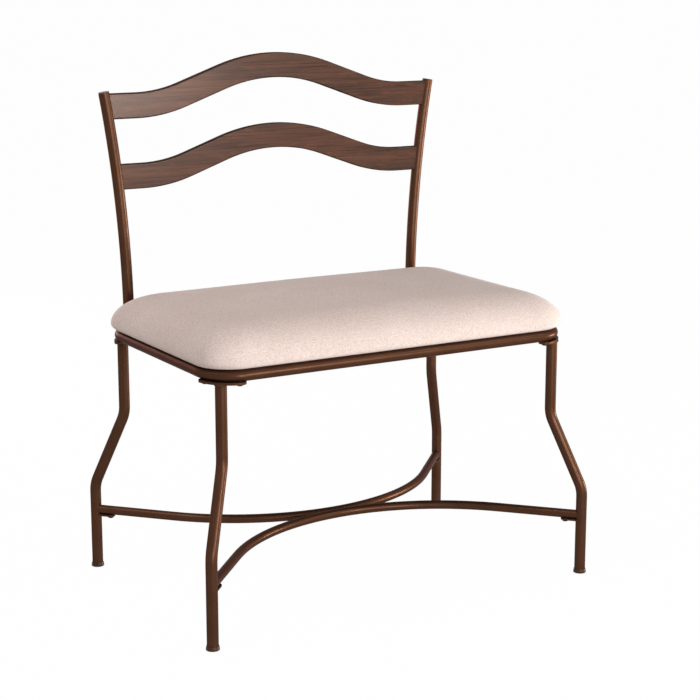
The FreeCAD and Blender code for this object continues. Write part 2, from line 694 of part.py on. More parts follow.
def make_bolts(label, seats, under_head, length):
    """Button-head bolts with a hexagon socket, head down, one on each seat."""
    body = new_body(label, z=under_head)
    heads = new_sketch(body, "heads", "XY_Plane")
    shanks = new_sketch(body, "shanks", "XY_Plane")
    sockets = new_sketch(body, "sockets", "XY_Plane", "-Sizes.bolt_head_height")
    for x, y in seats:
        add_circle(heads, x, y, "Sizes.bolt_head")
        add_circle(shanks, x, y, "Sizes.bolt_diameter")
        add_hexagon(sockets, x, y, "Sizes.bolt_socket")
    pad(body, heads, "Sizes.bolt_head_height", reverse=True)
    fillet(body, "Sizes.bolt_head_height * 2 / 3", lies_at("-Sizes.bolt_head_height"))
    pad(body, shanks, length)
    pocket(body, sockets, "Sizes.bolt_socket_depth", reverse=True)


def make_sleeves(label, seats, bottom, bore, diameter, length):
    """Plain round sleeves, one on each seat."""
    body = new_body(label, z=bottom)
    sketch = new_sketch(body, "sleeves", "XY_Plane")
    for x, y in seats:
        add_circle(sketch, x, y, diameter)
        add_circle(sketch, x, y, bore)
    pad(body, sketch, length)
    return body


def make_tee_nuts():
    """T-nuts let into the seat board from above."""
    length = "Sizes.tee_nut_length"
    bottom = f"{BOARD_TOP} - {length}"
    body = make_sleeves("seat_tee_nuts", BOARD_SEATS, bottom, NUT_BORE, "Sizes.tee_nut_diameter", length)
    flange_bottom = "Sizes.tee_nut_length - Sizes.tee_nut_flange_thickness"
    sketch = new_sketch(body, "flanges", "XY_Plane", flange_bottom)
    for x, y in BOARD_SEATS:
        add_circle(sketch, x, y, "Sizes.tee_nut_flange")
        add_circle(sketch, x, y, NUT_BORE)
    pad(body, sketch, "Sizes.tee_nut_flange_thickness")


def inset_sides(inset):
    """Half length, half depth and corner radius of the cushion's outline, moved in by an inset."""
    return [f"({size} - ({inset}))" for size in (CUSHION_X, CUSHION_Y, "Sizes.cushion_corner")]


def make_board():
    """The plywood seat board, bored for the T-nuts."""
    body = new_body("seat_board", z=BOARD_BOTTOM)
    outline = new_sketch(body, "board_outline", "XY_Plane")
    add_rounded_rectangle(outline, *inset_sides("Sizes.cushion_bottom_radius"))
    pad(body, outline, "Sizes.board_thickness")
    for name, diameter, depth in (
        ("barrel_bores", "Sizes.tee_nut_diameter", "2 * Sizes.board_thickness"),
        ("flange_seats", "Sizes.tee_nut_flange", "Sizes.tee_nut_flange_thickness"),
    ):
        sketch = new_sketch(body, name, "XY_Plane", "Sizes.board_thickness")
        for x, y in BOARD_SEATS:
            add_circle(sketch, x, y, f"{diameter} + 2 * Sizes.fit_gap")
        pocket(body, sketch, depth)


def make_pillow(label, inset):
    """The cushion's outer form, moved in from the cover's outside by an inset."""
    body = new_body(label, z=f"{RING_TOP} + {inset}")
    sketch = new_sketch(body, "pillow_outline", "XY_Plane")
    add_rounded_rectangle(sketch, *inset_sides(inset))
    depth = f"Sizes.cushion_bottom_radius + Sizes.cushion_side + Sizes.cushion_top_radius - 2 * {inset}"
    pad(body, sketch, depth)
    fillet(body, f"Sizes.cushion_top_radius - {inset}", lies_at(depth))
    fillet(body, f"Sizes.cushion_bottom_radius - {inset}", lies_at("0"))
    return body


def make_foam():
    """The foam, which lies over the board and round its edge."""
    gap = "(Sizes.cover_thickness + Sizes.fit_gap)"
    body = make_pillow("seat_foam", gap)
    sketch = new_sketch(body, "board_seat", "XY_Plane", f"-{gap}")
    add_rounded_rectangle(sketch, *inset_sides("Sizes.cushion_bottom_radius - Sizes.fit_gap"))
    pocket(body, sketch, "Sizes.cover_thickness + Sizes.board_thickness + Sizes.fit_gap", reverse=True)


def make_cover():
    """The fabric cover: a skin over the foam, with a hem turned in under the board."""
    outside = make_pillow("cover_outside", "0")
    inside = make_pillow("cover_inside", "Sizes.cover_thickness")
    sketch = new_sketch(inside, "hem_opening", "XY_Plane", "Sizes.cushion_bottom_radius")
    add_rounded_rectangle(sketch, *inset_sides("Sizes.hem_width"))
    pad(inside, sketch, "3 * Sizes.cushion_bottom_radius", reverse=True)
    cover = doc.addObject("Part::Cut", "seat_cover")
    cover.Label = "seat_cover"
    cover.Base = outside
    cover.Tool = inside
    return [outside, inside]


def make_dust_cover():
    """The thin sheet under the board, inside the hem."""
    body = new_body("dust_cover", z=f"{BOARD_BOTTOM} - Sizes.dust_cover_thickness")
    sketch = new_sketch(body, "sheet_outline", "XY_Plane")
    add_rounded_rectangle(sketch, *inset_sides("Sizes.hem_width + Sizes.fit_gap"))
    for x, y in BOARD_SEATS:
        add_circle(sketch, x, y, BOLT_HOLE)
    pad(body, sketch, "Sizes.dust_cover_thickness")


make_seat_ring()
for corner, signs in CORNERS.items():
    make_leg(corner, *signs)
    make_leg_plate(corner, *signs)
    make_foot(corner, *signs)
    make_stretcher_tab(corner, *signs)
    make_seat_tab(corner, *signs)
make_stretcher("stretcher_front", 0)
make_stretcher("stretcher_rear", 180)
for side, sign in SIDES.items():
    make_post(side, sign)
    top_x = f"{sign} * {post_x(POST_TOP)}"
    top_lean = f"{sign} * {post_lean(POST_TOP)}"
    make_post_end(f"post_cap_{side}", top_x, POST_TOP, top_lean)
    make_post_end(f"post_plug_{side}", f"{sign} * Sizes.post_base_x", POST_BOTTOM, "180 deg")
for rail in RAIL_HEIGHTS:
    make_rail(rail)
    make_rail_pins(rail)
make_bolts("leg_plate_bolts", PLATE_SEATS, LEG_TOP, "Sizes.leg_bolt_length")
for label, seats, bottom in (
    ("ring_insert_nuts", PLATE_SEATS, RING_BOTTOM),
    ("stretcher_insert_nuts", TAB_SEATS, STRETCHER_BOTTOM),
):
    make_sleeves(label, seats, bottom, NUT_BORE, "Sizes.nut_diameter", "Sizes.nut_length")
make_bolts("stretcher_bolts", TAB_SEATS, TAB_BOTTOM, "Sizes.tab_bolt_length")
make_board()
make_foam()
helpers = make_cover()
make_dust_cover()
make_tee_nuts()
washer_bottom = f"{SEAT_TAB_BOTTOM} - Sizes.washer_thickness"
washer_sizes = ("Sizes.washer_diameter", "Sizes.washer_thickness")
make_sleeves("seat_washers", BOARD_SEATS, washer_bottom, BOLT_HOLE, *washer_sizes)
make_bolts("seat_bolts", BOARD_SEATS, washer_bottom, "Sizes.seat_bolt_length")

# Check every object, then write one file for each sub-part
doc.recompute()
for item in doc.Objects:
    if "Invalid" in item.State or "Error" in item.State:
        raise RuntimeError(f"{item.Label} did not build")
sub_parts = [item for item in doc.Objects if item.TypeId in ("PartDesign::Body", "Part::Cut")]
os.makedirs("parts", exist_ok=True)
for item in sub_parts:
    if item in helpers:
        continue
    if item.Shape.isNull() or not item.Shape.isValid():
        raise RuntimeError(f"{item.Label} has no valid shape")
    item.Shape.exportStep(f"parts/{item.Label}.step")
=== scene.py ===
import json
from math import atan2, cos, pi, radians, sin

import bpy
import numpy as np
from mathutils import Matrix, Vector


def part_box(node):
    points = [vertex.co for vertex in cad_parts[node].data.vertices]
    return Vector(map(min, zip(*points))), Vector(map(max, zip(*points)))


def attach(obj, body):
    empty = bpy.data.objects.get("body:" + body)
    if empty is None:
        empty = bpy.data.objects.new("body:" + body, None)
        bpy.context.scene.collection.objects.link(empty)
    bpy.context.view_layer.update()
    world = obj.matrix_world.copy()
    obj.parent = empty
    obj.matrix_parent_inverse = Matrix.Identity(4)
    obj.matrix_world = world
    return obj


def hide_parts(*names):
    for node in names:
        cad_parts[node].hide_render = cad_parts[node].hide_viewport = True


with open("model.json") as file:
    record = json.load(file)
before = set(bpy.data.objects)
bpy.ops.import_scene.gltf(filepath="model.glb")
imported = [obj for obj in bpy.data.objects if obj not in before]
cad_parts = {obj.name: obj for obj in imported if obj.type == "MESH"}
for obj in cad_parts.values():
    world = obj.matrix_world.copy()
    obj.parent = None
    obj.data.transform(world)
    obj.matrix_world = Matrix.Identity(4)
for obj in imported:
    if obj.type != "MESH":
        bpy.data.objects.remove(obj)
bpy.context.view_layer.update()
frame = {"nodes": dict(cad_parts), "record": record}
nodes = frame["nodes"]

# Places on the frame that the added pieces sit on, in metres
CORNERS = {
    "front_left": (-1, -1),
    "front_right": (1, -1),
    "rear_left": (-1, 1),
    "rear_right": (1, 1),
}
SIDES = {"left": -1, "right": 1}
TUBE_RADIUS = 0.0095
STRETCHER_RADIUS = 0.00775
RING_CORNER = 0.054
ring_low, ring_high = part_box("seat_ring")
RING_X = ring_high.x - TUBE_RADIUS
RING_Y = ring_high.y - TUBE_RADIUS
RING_Z = (ring_low.z + ring_high.z) / 2

# Lengths too short to divide by
LEAST_RUN = 1e-6
TINY = 1e-9


def middle_of(node):
    """The middle of a node's box."""
    low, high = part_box(node)
    return (low + high) / 2


# Node trees
MIX_FACTOR, MIX_FIRST, MIX_SECOND, MIX_RESULT = 0, 6, 7, 2
NOISE_LOW = 0.3
NOISE_HIGH = 0.7


def new_material(name):
    """A material with its node tree and its Principled shader."""
    material = bpy.data.materials.new(name)
    material.use_nodes = True
    return material, material.node_tree, material.node_tree.nodes["Principled BSDF"]


def set_inputs(tree, node, inputs):
    """Link a node's inputs to sockets, or set them to values."""
    for key, source in inputs.items():
        if isinstance(source, bpy.types.NodeSocket):
            tree.links.new(source, node.inputs[key])
        else:
            node.inputs[key].default_value = source


def add_node(tree, kind, inputs=None, **settings):
    """A node with its settings and its inputs."""
    node = tree.nodes.new(kind)
    for key, setting in settings.items():
        setattr(node, key, setting)
    set_inputs(tree, node, inputs or {})
    return node


def stretched(tree, scale):
    """Object coordinates, scaled along each axis."""
    coordinates = add_node(tree, "ShaderNodeTexCoord")
    inputs = {"Vector": coordinates.outputs["Object"], "Scale": scale}
    return add_node(tree, "ShaderNodeMapping", inputs).outputs["Vector"]


def noise(tree, scale, detail=3.0, roughness=0.55, distortion=0.0):
    """Noise over object coordinates, with a scale for each axis in cells per metre."""
    inputs = {
        "Vector": stretched(tree, scale),
        "Scale": 1.0,
        "Detail": detail,
        "Roughness": roughness,
        "Distortion": distortion,
    }
    return add_node(tree, "ShaderNodeTexNoise", inputs).outputs[0]


def even_noise(tree, scale, detail=3.0, roughness=0.55, distortion=0.0):
    """Noise with the same scale along all axes."""
    return noise(tree, (scale, scale, scale), detail, roughness, distortion)


def ramp(tree, factor, *stops):
    """A colour ramp with stops of (position, red, green, blue)."""
    node = add_node(tree, "ShaderNodeValToRGB", {"Fac": factor})
    elements = node.color_ramp.elements
    while len(elements) < len(stops):
        elements.new(0.5)
    for element, (position, *colour) in zip(elements, stops):
        element.position = position
        element.color = (*colour, 1.0)
    return node.outputs["Color"]


def grey_ramp(tree, factor, *stops):
    """A ramp between grey levels, with stops of (position, level)."""
    return ramp(tree, factor, *[(position, level, level, level) for position, level in stops])


def between(tree, factor, dark, light):
    """A colour between two, over the range where most of a noise lies."""
    return ramp(tree, factor, (NOISE_LOW, *dark), (NOISE_HIGH, *light))


def mix(tree, factor, first, second, blend="MIX"):
    """A mix of two colours."""
    inputs = {MIX_FACTOR: factor, MIX_FIRST: first, MIX_SECOND: second}
    node = add_node(tree, "ShaderNodeMix", inputs, data_type="RGBA", blend_type=blend)
    return node.outputs[MIX_RESULT]


def multiply(tree, first, second):
    """One colour times another."""
    return mix(tree, 1.0, first, second, "MULTIPLY")


def calculate(tree, operation, *values):
    """A math node over sockets or numbers."""
    node = add_node(tree, "ShaderNodeMath", dict(enumerate(values)), operation=operation)
    return node.outputs[0]


def bump(tree, shader, height, strength, distance):
    """A bump from a height to a shader."""
    inputs = {"Height": height, "Strength": strength, "Distance": distance}
    node = add_node(tree, "ShaderNodeBump", inputs)
    tree.links.new(node.outputs["Normal"], shader.inputs["Normal"])


def spread(tree, factor, low, high):
    """A factor moved to a range."""
    inputs = {"Value": factor, "To Min": low, "To Max": high}
    return add_node(tree, "ShaderNodeMapRange", inputs).outputs["Result"]


# Materials
def coated_metal(name, dark, light, roughness, metallic):
    """Brown powder coat: cloudy tone, fine flake, orange peel and a soft gloss."""
    material, tree, shader = new_material(name)
    tone = between(tree, even_noise(tree, 28, 4), dark, light)
    flake = even_noise(tree, 2400, 1)
    glint = ramp(tree, flake, (0.62, 0, 0, 0), (0.78, 0.012, 0.006, 0.004))
    worn = even_noise(tree, 160, 3)
    set_inputs(tree, shader, {
        "Base Color": mix(tree, 1.0, tone, glint, "ADD"),
        "Roughness": spread(tree, worn, roughness - 0.04, roughness + 0.06),
        "Metallic": metallic,
        "Specular IOR Level": 0.03,
        "Specular Tint": (0.38, 0.3, 0.24, 1),
        "Coat Weight": 0.035,
        "Coat Roughness": 0.15,
    })
    bump(tree, shader, even_noise(tree, 420, 2), 0.015, 0.0003)
    return material


# Where the normal turns from the rail's face (|normal Y| from FACE_FLATNESS down to EDGE_FLATNESS),
# the rounded edges get painted shade in the base colour and a rougher, less glossy finish
EDGE_FLATNESS = 0.6
FACE_FLATNESS = 0.985


def stained_wood():
    """Reddish-brown stained wood: grain along X, pores, painted shade darkening the rounded edges,
    and a duller gloss there.
    """
    material, tree, shader = new_material("rail_wood")
    figure = noise(tree, (4.2, 55, 55), 3, 0.5, 0.6)
    streak = noise(tree, (7, 380, 380), 4, 0.66)
    pore = noise(tree, (70, 1500, 1500), 2, 0.5)
    patch = noise(tree, (26, 90, 90), 3, 0.6)
    geometry = add_node(tree, "ShaderNodeNewGeometry")
    facing = add_node(tree, "ShaderNodeSeparateXYZ", {"Vector": geometry.outputs["Normal"]})
    flatness = calculate(tree, "ABSOLUTE", facing.outputs["Y"])

    def by_flatness(at_edge, on_face):
        return grey_ramp(tree, flatness, (EDGE_FLATNESS, at_edge), (FACE_FLATNESS, on_face))

    tone = ramp(
        tree,
        figure,
        (0.28, 0.043, 0.0235, 0.0165),
        (0.46, 0.067, 0.031, 0.0205),
        (0.58, 0.085, 0.035, 0.0222),
        (0.74, 0.1, 0.049, 0.0275),
    )
    glow = grey_ramp(tree, patch, (0.56, 0.0), (0.72, 0.55))
    stained = mix(tree, glow, tone, (0.135, 0.046, 0.024, 1))
    lines = grey_ramp(tree, streak, (0.37, 0.58), (0.47, 1.0), (0.68, 1.18))
    grained = multiply(tree, stained, lines)
    pits = grey_ramp(tree, pore, (0.28, 0.55), (0.4, 1.0))
    pitted = mix(tree, 0.7, grained, pits, "MULTIPLY")
    polish = spread(tree, streak, 0.18, 0.28)
    set_inputs(tree, shader, {
        # Painted shade: the base colour is darkened on the rounded edges, where the normal turns
        # away from the rail's face
        "Base Color": multiply(tree, pitted, by_flatness(0.38, 1.0)),
        "Roughness": calculate(tree, "MAXIMUM", polish, by_flatness(0.6, 0.0)),
        "Specular IOR Level": by_flatness(0.02, 0.2),
        "Specular Tint": (1, 0.75, 0.66, 1),
    })
    bump(tree, shader, mix(tree, 0.5, streak, pore), 0.1, 0.0004)
    return material


def woven_fabric():
    """Cream upholstery cloth: crossed threads, fine pale and tan flecks, soft sheen."""
    material, tree, shader = new_material("seat_fabric")
    warp = noise(tree, (260, 1150, 1150), 2, 0.5)
    weft = noise(tree, (1150, 260, 1150), 2, 0.5)
    half_warp = calculate(tree, "MULTIPLY", warp, 0.5)
    half_weft = calculate(tree, "MULTIPLY", weft, 0.5)
    threads = calculate(tree, "ADD", half_warp, half_weft)
    fleck = even_noise(tree, 400, 2, 0.6)
    base = between(tree, even_noise(tree, 9, 3), (0.636, 0.507, 0.456), (0.68, 0.55, 0.499))
    yarn = ramp(tree, threads, (0.36, 0.84, 0.82, 0.8), (0.5, 1, 1, 1), (0.64, 1.1, 1.1, 1.1))
    specks = ramp(
        tree,
        fleck,
        (0.34, 0.88, 0.86, 0.85),
        (0.46, 1, 1, 1),
        (0.54, 1, 1, 1),
        (0.66, 1.13, 1.12, 1.1),
    )
    set_inputs(tree, shader, {
        "Base Color": multiply(tree, multiply(tree, base, yarn), specks),
        "Roughness": spread(tree, fleck, 0.82, 0.97),
        "Specular IOR Level": 0.15,
        "Sheen Weight": 0.12,
        "Sheen Roughness": 0.5,
    })
    bump(tree, shader, mix(tree, 0.35, threads, fleck), 0.4, 0.0006)
    return material


def lining_cloth():
    """Black spun lining of tangled fibres."""
    material, tree, shader = new_material("dust_cloth")
    fibre = even_noise(tree, 420, 5, 0.7, 1.5)
    set_inputs(tree, shader, {
        "Base Color": between(tree, fibre, (0.012, 0.012, 0.013), (0.05, 0.05, 0.052)),
        "Roughness": 0.92,
    })
    bump(tree, shader, fibre, 0.5, 0.0005)
    return material


def raw_plywood():
    """Pale plywood: layered edges and a long grain."""
    material, tree, shader = new_material("plywood")
    plies = noise(tree, (2, 2, 700), 1)
    grain = noise(tree, (6, 240, 240), 4)
    face = between(tree, grain, (0.46, 0.32, 0.19), (0.62, 0.46, 0.3))
    layers = grey_ramp(tree, plies, (0.4, 0.75), (0.6, 1.0))
    set_inputs(tree, shader, {"Base Color": multiply(tree, face, layers), "Roughness": 0.7})
    bump(tree, shader, grain, 0.2, 0.0005)
    return material


def open_foam():
    """Yellowish open-cell foam."""
    material, tree, shader = new_material("seat_foam")
    inputs = {"Vector": stretched(tree, (700, 700, 700)), "Scale": 1.0}
    cells = add_node(tree, "ShaderNodeTexVoronoi", inputs).outputs["Distance"]
    tone = ramp(tree, cells, (0.1, 0.5, 0.44, 0.3), (0.6, 0.72, 0.65, 0.47))
    set_inputs(tree, shader, {"Base Color": tone, "Roughness": 0.95})
    bump(tree, shader, cells, 0.6, 0.001)
    return material


def moulded_plastic():
    """Dark moulded plastic with a fine matte texture."""
    material, tree, shader = new_material("cap_plastic")
    mottle = even_noise(tree, 120, 3)
    grain = even_noise(tree, 1800, 2)
    set_inputs(tree, shader, {
        "Base Color": between(tree, mottle, (0.044, 0.019, 0.0125), (0.06, 0.027, 0.018)),
        "Roughness": spread(tree, grain, 0.26, 0.42),
        "Specular IOR Level": 0.16,
        "Specular Tint": (1, 0.72, 0.6, 1),
    })
    bump(tree, shader, grain, 0.1, 0.0002)
    return material


FRAME_DARK, FRAME_LIGHT = (0.06, 0.0252, 0.0136), (0.074, 0.0316, 0.0172)
FASTENER_DARK, FASTENER_LIGHT = (0.014, 0.007, 0.005), (0.022, 0.011, 0.008)
MATERIALS = {
    "frame_metal": coated_metal("frame_metal", FRAME_DARK, FRAME_LIGHT, 0.36, 0.62),
    "fastener_steel": coated_metal("fastener_steel", FASTENER_DARK, FASTENER_LIGHT, 0.32, 0.4),
    "rail_wood": stained_wood(),
    "seat_fabric": woven_fabric(),
    "seat_foam": open_foam(),
    "dust_cloth": lining_cloth(),
    "plywood": raw_plywood(),
    "cap_plastic": moulded_plastic(),
}


def paint(piece, slot):
    """Give a piece one material in all its slots."""
    if not piece.data.materials:
        piece.data.materials.append(MATERIALS[slot])
    for index in range(len(piece.data.materials)):
        piece.data.materials[index] = MATERIALS[slot]


for row in frame["record"]["subparts"]:
    paint(nodes[row["node"]], row["material_slot"])


# Added pieces
def new_piece(name, vertices, faces, slot, smooth=True):
    """A mesh piece with one material."""
    mesh = bpy.data.meshes.new(name)
    mesh.from_pydata([tuple(point) for point in vertices], [], faces)
    mesh.validate()
    mesh.polygons.foreach_set("use_smooth", [smooth] * len(mesh.polygons))
    piece = bpy.data.objects.new(name, mesh)
    bpy.context.scene.collection.objects.link(piece)
    paint(piece, slot)
    return piece


# Cushion
cover_low, cover_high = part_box("seat_cover")
board_low, board_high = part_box("seat_board")
SEAT_FLOOR = cover_low.z
COVER_CORNER = 0.066
CELL = 0.010

# The form under the cloth: its widest line, the roll above it and the crown
BULGE = 0.0027
EQUATOR = SEAT_FLOOR + 0.009
ROLL_WIDTH = 0.078
ROLL_HEIGHT = 0.0508
ROLL_POWER = 1.97
ROLL_SAMPLES = 90
CROWN = 0.0035
CUSHION_CORNER = 0.0553
CORNER_SHRINK = 0.35

# The tuck under the roll, then the hem and the pocket round the board
TUCK_DROP = 0.005
TUCK_NEAR = 0.004
TUCK_FAR = 0.0105
TUCK_CELL = 0.004
HEM_MIDDLE = 0.018
HEM_INSET = 0.026
BOARD_SIDE = cover_high.x - board_high.x - 0.0003
BOARD_UNDER = board_low.z - 0.0001
BOARD_OVER = board_high.z + 0.0002

# How the cloth is held at its edge, and how it swells
EDGE_HOLD = 0.45
HOLD_FADE = 0.03
SWELL_CAP = 0.003
LAST_FRAME = 10
CLOTH_SETTINGS = {
    "quality": 5,
    "mass": 0.3,
    "tension_stiffness": 40,
    "compression_stiffness": 40,
    "shear_stiffness": 15,
    "bending_stiffness": 2,
    "air_damping": 2,
    "vertex_group_mass": "held",
    "use_pressure": True,
    "uniform_pressure_force": 0.5,
}


def arc_table(points, step):
    """A polyline through (inset, height) points, resampled at an even step."""
    points = np.array(points)
    runs = np.concatenate([[0], np.cumsum(np.hypot(*np.diff(points, axis=0).T))])
    count = int(round(runs[-1] / step))
    places = np.linspace(0, runs[-1], count + 1)
    return np.column_stack([np.interp(places, runs, points[:, axis]) for axis in (0, 1)])


def bezier(p0, p1, p2, p3, count=60):
    """Points on a cubic curve."""
    t = np.linspace(0, 1, count)[:, None]
    p0, p1, p2, p3 = (np.array(p, float) for p in (p0, p1, p2, p3))
    return (1 - t) ** 3 * p0 + 3 * (1 - t) ** 2 * t * p1 + 3 * (1 - t) * t ** 2 * p2 + t ** 3 * p3


def ring_points(sheet_x, sheet_y, half_x, half_y, corner):
    """Places on a rounded outline for the points of a rectangular ring of the flat sheet."""
    reach_x = np.abs(sheet_x).max()
    reach_y = np.abs(sheet_y).max()
    half_arc = corner * pi / 4
    on_side = np.isclose(np.abs(sheet_x), reach_x)
    along = np.where(on_side, np.abs(sheet_y), np.abs(sheet_x))
    reach = np.where(on_side, reach_y, reach_x)
    straight = np.maximum(np.where(on_side, half_y, half_x) - corner, LEAST_RUN)
    flat_reach = np.maximum(reach - half_arc, LEAST_RUN)
    in_arc = along > flat_reach
    angle = np.where(in_arc, (along - flat_reach) / max(half_arc, TINY) * pi / 4, 0)
    place = np.where(in_arc, straight + corner * np.sin(angle), along / flat_reach * straight)
    drop = np.where(in_arc, corner * (1 - np.cos(angle)), 0)
    x = np.where(on_side, half_x - drop, place) * np.sign(sheet_x)
    y = np.where(on_side, place, half_y - drop) * np.sign(sheet_y)
    return x, y


def roll_profile():
    """The roll from the cushion's widest line to its top, as (inset, height) at every cell."""
    turn = np.linspace(0, pi / 2, ROLL_SAMPLES)
    roll = np.column_stack([
        ROLL_WIDTH * (1 - np.cos(turn) ** (2 / ROLL_POWER)),
        EQUATOR + ROLL_HEIGHT * np.sin(turn) ** (2 / ROLL_POWER),
    ])
    return arc_table(roll, CELL)


def skirt_profile():
    """The rings below the widest line, as (inset, height), and how many of them are the tuck."""
    tuck = bezier(
        (0, EQUATOR),
        (0, EQUATOR - TUCK_DROP),
        (TUCK_NEAR + BULGE, SEAT_FLOOR),
        (TUCK_FAR + BULGE, SEAT_FLOOR),
    )
    rings = [(inset - BULGE, height) for inset, height in arc_table(tuck, TUCK_CELL)[1:]]
    hem = [(HEM_MIDDLE, SEAT_FLOOR), (HEM_INSET, SEAT_FLOOR), (HEM_INSET, BOARD_UNDER)]
    pocket = [(BOARD_SIDE, BOARD_UNDER), (BOARD_SIDE, BOARD_OVER)]
    return rings + hem + pocket, len(rings)


def cushion_mesh():
    """The cover as cut cloth laid over its form: a grid over the top, then rings down the side,
    hem and board."""
    half_x = cover_high.x + BULGE
    half_y = cover_high.y + BULGE
    roll = roll_profile()
    roll_length = CELL * (len(roll) - 1)
    roll_inset = roll[-1, 0]
    sheet_x = half_x + roll_length - roll_inset
    sheet_y = half_y + roll_length - roll_inset
    columns = 2 * int(round(sheet_x / CELL))
    rows = 2 * int(round(sheet_y / CELL))
    grid_x, grid_y = np.meshgrid(
        np.linspace(-1, 1, columns + 1),
        np.linspace(-1, 1, rows + 1),
        indexing="ij",
    )
    column = np.arange(columns + 1)
    row = np.arange(rows + 1)
    depth_index = np.minimum(
        np.minimum(column, columns - column)[:, None],
        np.minimum(row, rows - row)[None, :],
    )
    points = np.zeros((columns + 1, rows + 1, 3))
    for level in range(depth_index.max() + 1):
        chosen = depth_index == level
        if level < len(roll):
            inset, height = roll[level]
        else:
            inset = roll_inset + level * CELL - roll_length
            height = EQUATOR + ROLL_HEIGHT
        x, y = ring_points(
            grid_x[chosen] * sheet_x,
            grid_y[chosen] * sheet_y,
            max(half_x - inset, 0.0),
            max(half_y - inset, 0.0),
            max(CUSHION_CORNER - CORNER_SHRINK * inset, 0.0),
        )
        crown = CROWN * (1 - (x / half_x) ** 2) * (1 - (y / half_y) ** 2)
        points[chosen] = np.column_stack([x, y, height + crown])
    hold = EDGE_HOLD * np.clip(1 - depth_index * CELL / HOLD_FADE, 0, 1)
    index = np.arange(points[..., 0].size).reshape(points.shape[:2])
    faces = [
        (index[i, j], index[i + 1, j], index[i + 1, j + 1], index[i, j + 1])
        for i in range(columns)
        for j in range(rows)
    ]
    loop = [(i, 0) for i in range(columns)]
    loop += [(columns, j) for j in range(rows)]
    loop += [(i, rows) for i in range(columns, 0, -1)]
    loop += [(0, j) for j in range(rows, 0, -1)]
    loop_x = np.array([grid_x[place] for place in loop]) * sheet_x
    loop_y = np.array([grid_y[place] for place in loop]) * sheet_y
    vertices = list(points.reshape(-1, 3))
    holds = list(hold.ravel())
    below = [index[place] for place in loop]
    rings, tuck_rings = skirt_profile()
    for number, (inset, height) in enumerate(rings, start=1):
        settled = min(1.0, number / tuck_rings)
        corner = max(CUSHION_CORNER + settled * (COVER_CORNER - CUSHION_CORNER) - inset, 0.0)
        x, y = ring_points(loop_x, loop_y, cover_high.x - inset, cover_high.y - inset, corner)
        first = len(vertices)
        vertices += list(np.column_stack([x, y, np.full(len(x), height)]))
        ring = list(range(first, first + len(loop)))
        faces += [
            (below[k], ring[k], ring[(k + 1) % len(ring)], below[(k + 1) % len(ring)])
            for k in range(len(ring))
        ]
        holds += [EDGE_HOLD + (1 - EDGE_HOLD) * settled] * len(ring)
        below = ring
    faces.append(tuple(below))
    return vertices, faces, holds


def inflate(piece, holds):
    """Blow the cover up from inside with a cloth simulation, and keep the result."""
    group = piece.vertex_groups.new(name=CLOTH_SETTINGS["vertex_group_mass"])
    for number, weight in enumerate(holds):
        if weight > 0:
            group.add([number], float(weight), "REPLACE")
    before = np.zeros(len(piece.data.vertices) * 3)
    piece.data.vertices.foreach_get("co", before)
    cloth = piece.modifiers.new("Cloth", "CLOTH")
    for key, setting in CLOTH_SETTINGS.items():
        setattr(cloth.settings, key, setting)
    cloth.settings.effector_weights.gravity = 0
    scene = bpy.context.scene
    for number in range(1, LAST_FRAME + 1):
        scene.frame_set(number)
    swollen = piece.evaluated_get(bpy.context.evaluated_depsgraph_get())
    after = np.zeros_like(before)
    swollen.data.vertices.foreach_get("co", after)
    moved = (after - before).reshape(-1, 3)
    length = np.linalg.norm(moved, axis=1, keepdims=True)
    kept = moved * SWELL_CAP * np.tanh(length / SWELL_CAP) / np.maximum(length, TINY)
    piece.modifiers.remove(cloth)
    piece.vertex_groups.remove(group)
    piece.data.vertices.foreach_set("co", (before.reshape(-1, 3) + kept).ravel())
    piece.data.update()
    scene.frame_set(1)


vertices, faces, holds = cushion_mesh()
cushion = new_piece("seat_cushion", vertices, faces, "seat_fabric")
inflate(cushion, holds)
finer = cushion.modifiers.new("Subdivision", "SUBSURF")
finer.levels = 1
finer.render_levels = 1
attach(cushion, "root")
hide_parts("seat_cover", "seat_foam")

# Weld beads
BEAD_SIDES = 10
RIPPLE = 0.13
RIPPLE_PITCH = 0.0022
FADE_LENGTH = 2.5
FADE_LEAST = 0.02


